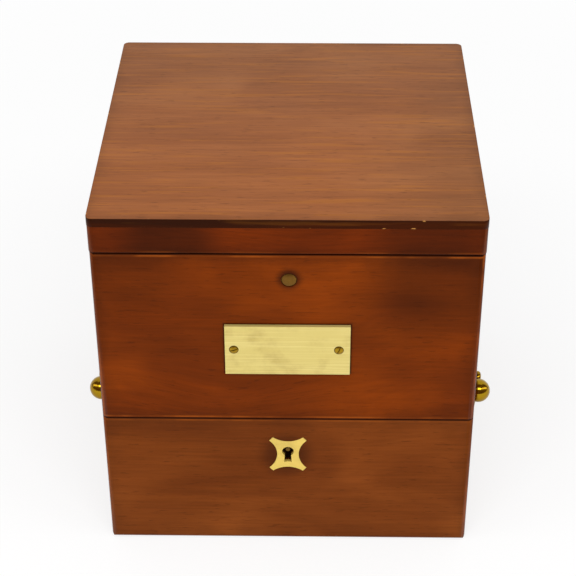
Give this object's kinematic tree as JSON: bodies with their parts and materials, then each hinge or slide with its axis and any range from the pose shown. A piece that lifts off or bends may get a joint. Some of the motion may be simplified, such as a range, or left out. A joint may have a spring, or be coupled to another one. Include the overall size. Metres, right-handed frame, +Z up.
{
  "type": "deck chronometer",
  "caption": "Deck chronometer in a three-tier hinged mahogany box with brass fittings, side handles, a windowed middle tier and a gimballed brass bowl.",
  "frame": {"origin": "centre of the underside of the closed box", "axes": "+Z up, -Y towards the front with the keyhole, +X to the right seen from the front"},
  "size_m": [0.1732, 0.1557, 0.1595],
  "materials": {
    "mahogany": "french-polished mahogany, worn satin",
    "brass": "polished and lacquered brass",
    "pale_brass": "brushed pale brass",
    "tarnished_brass": "dull tarnished brass",
    "gilt_brass": "frosted gilt brass",
    "steel": "bright steel",
    "blued_steel": "blued steel",
    "glass": "clear glass",
    "silvered": "matt silvered dial with black figures"
  },
  "bodies": {
    "lower_case": {"lower_carcass": "mahogany", "base_board": "mahogany", "key_escutcheon": "pale_brass", "lock_case": "brass", "lower_case_screws": "brass", "handle_posts": "brass", "handle_nuts": "brass", "gimbal_brackets": "brass", "outer_pivot_screws": "steel", "gimbal_lock_post": "brass", "tier_hinge_lower_leaves": "brass", "tier_hinge_pins": "steel"},
    "lock_bolt": {"lock_bolt": "brass"},
    "left_handle": {"left_handle_bail": "brass"},
    "right_handle": {"right_handle_bail": "brass"},
    "gimbal_lock": {"gimbal_lock_lever": "brass"},
    "middle_tier": {"middle_carcass": "mahogany", "tier_hinge_upper_leaves": "brass", "lid_hinge_lower_leaves": "brass", "lid_hinge_pins": "steel", "middle_tier_screws": "brass", "window_glass": "glass", "window_beads": "mahogany", "front_plate": "pale_brass", "plate_screws": "tarnished_brass", "catch_spring": "tarnished_brass", "lock_staple": "brass"},
    "button": {"catch_button": "tarnished_brass"},
    "lid": {"lid_frame": "mahogany", "lid_board": "mahogany", "lid_hinge_upper_leaves": "brass", "lid_screws": "brass", "catch_hook": "brass"},
    "gimbal_ring": {"gimbal_ring": "brass", "inner_pivot_screws": "steel"},
    "bowl": {"bowl": "brass", "bezel": "brass", "crystal": "glass", "dial": "silvered", "pillar_plate": "gilt_brass", "back_plate": "gilt_brass", "movement_screws": "blued_steel", "balance_cock": "gilt_brass"},
    "shutter": {"winding_shutter": "brass"},
    "barrel": {"barrel": "gilt_brass", "mainspring": "blued_steel"},
    "barrel_arbor": {"barrel_arbor": "steel"},
    "click": {"ratchet_click": "steel"},
    "centre_arbor": {"centre_wheel": "gilt_brass", "minute_hand": "blued_steel"},
    "third_arbor": {"third_wheel": "gilt_brass"},
    "seconds_arbor": {"seconds_wheel": "gilt_brass", "seconds_hand": "blued_steel"},
    "escape_arbor": {"escape_wheel": "gilt_brass"},
    "pallet_lever": {"pallet_lever": "steel"},
    "balance": {"balance_wheel": "gilt_brass", "balance_spring": "blued_steel"},
    "minute_arbor": {"minute_wheel": "gilt_brass"},
    "hour_pipe": {"hour_wheel": "gilt_brass", "hour_hand": "blued_steel"}
  },
  "joints": [
    {"name": "middle_tier_hinge", "type": "hinge", "parent": "lower_case", "child": "middle_tier", "pos_m": [0, 0.0769, 0.065], "axis": [-1, 0, 0], "range_deg": [0, 95]},
    {"name": "lid_hinge", "type": "hinge", "parent": "middle_tier", "child": "lid", "pos_m": [0, 0.0769, 0.144], "axis": [-1, 0, 0], "range_deg": [0, 95]},
    {"name": "catch_button_push", "type": "slide", "parent": "middle_tier", "child": "button", "axis": [0, 1, 0], "range_m": [0, 0.0016], "stiffness_N_per_m": 600, "deforming": ["catch_spring"]},
    {"name": "lock_bolt_slide", "type": "slide", "parent": "lower_case", "child": "lock_bolt", "axis": [1, 0, 0], "range_m": [0, 0.005]},
    {"name": "left_handle_pivot", "type": "hinge", "parent": "lower_case", "child": "left_handle", "pos_m": [-0.0815, 0, 0.0455], "axis": [0, 1, 0], "range_deg": [0, 175]},
    {"name": "right_handle_pivot", "type": "hinge", "parent": "lower_case", "child": "right_handle", "pos_m": [0.0815, 0, 0.0455], "axis": [0, -1, 0], "range_deg": [0, 175]},
    {"name": "gimbal_lock_turn", "type": "hinge", "parent": "lower_case", "child": "gimbal_lock", "pos_m": [0.053, -0.053, 0.06], "axis": [0, 0, 1], "range_deg": [0, 45]},
    {"name": "gimbal_ring_tilt", "type": "hinge", "parent": "lower_case", "child": "gimbal_ring", "pos_m": [0, 0, 0.06], "axis": [1, 0, 0], "range_deg": [-35, 35]},
    {"name": "bowl_tilt", "type": "hinge", "parent": "gimbal_ring", "child": "bowl", "pos_m": [0, 0, 0.06], "axis": [0, 1, 0], "continuous": true},
    {"name": "shutter_turn", "type": "hinge", "parent": "bowl", "child": "shutter", "pos_m": [-0.00169, 0.01069, 0.0313], "axis": [0, 0, 1], "range_deg": [0, 70], "stiffness_Nm_per_rad": 0.0002},
    {"name": "seconds_turn", "type": "hinge", "parent": "bowl", "child": "seconds_arbor", "pos_m": [0, -0.018, 0.06], "axis": [0, 0, 1], "continuous": true},
    {"name": "third_turn", "type": "hinge", "parent": "bowl", "child": "third_arbor", "pos_m": [0.0047, -0.00972, 0.06], "axis": [0, 0, 1], "continuous": true},
    {"name": "centre_turn", "type": "hinge", "parent": "bowl", "child": "centre_arbor", "pos_m": [0, 0, 0.06], "axis": [0, 0, 1], "continuous": true},
    {"name": "barrel_turn", "type": "hinge", "parent": "bowl", "child": "barrel", "pos_m": [-0.01069, 0.01069, 0.06], "axis": [0, 0, 1], "continuous": true},
    {"name": "escape_turn", "type": "hinge", "parent": "bowl", "child": "escape_arbor", "pos_m": [-0.00796, -0.0209, 0.06], "axis": [0, 0, 1], "continuous": true},
    {"name": "minute_wheel_turn", "type": "hinge", "parent": "bowl", "child": "minute_arbor", "pos_m": [0.00416, 0.0024, 0.06], "axis": [0, 0, 1], "continuous": true},
    {"name": "hour_turn", "type": "hinge", "parent": "bowl", "child": "hour_pipe", "pos_m": [0, 0, 0.06], "axis": [0, 0, 1], "continuous": true},
    {"name": "winding_turn", "type": "hinge", "parent": "bowl", "child": "barrel_arbor", "pos_m": [-0.01069, 0.01069, 0.06], "axis": [0, 0, 1], "continuous": true},
    {"name": "click_turn", "type": "hinge", "parent": "bowl", "child": "click", "pos_m": [-0.00544, 0.01979, 0.049], "axis": [0, 0, 1], "range_deg": [0, 10], "stiffness_Nm_per_rad": 0.00002},
    {"name": "pallet_lever_rock", "type": "hinge", "parent": "bowl", "child": "pallet_lever", "pos_m": [-0.01261, -0.01778, 0.06], "axis": [0, 0, 1], "range_deg": [-5, 5]},
    {"name": "balance_swing", "type": "hinge", "parent": "bowl", "child": "balance", "pos_m": [-0.022, -0.0115, 0.06], "axis": [0, 0, 1], "range_deg": [-270, 270], "stiffness_Nm_per_rad": 0.000032, "deforming": ["balance_spring"]}
  ],
  "couplings": [
    {"joint": "third_turn", "follows": "seconds_turn", "ratio": -0.13333},
    {"joint": "centre_turn", "follows": "seconds_turn", "ratio": 0.016667},
    {"joint": "barrel_turn", "follows": "seconds_turn", "ratio": -0.0020833},
    {"joint": "escape_turn", "follows": "seconds_turn", "ratio": -10},
    {"joint": "minute_wheel_turn", "follows": "seconds_turn", "ratio": -0.0055556},
    {"joint": "hour_turn", "follows": "seconds_turn", "ratio": 0.0013889}
  ]
}
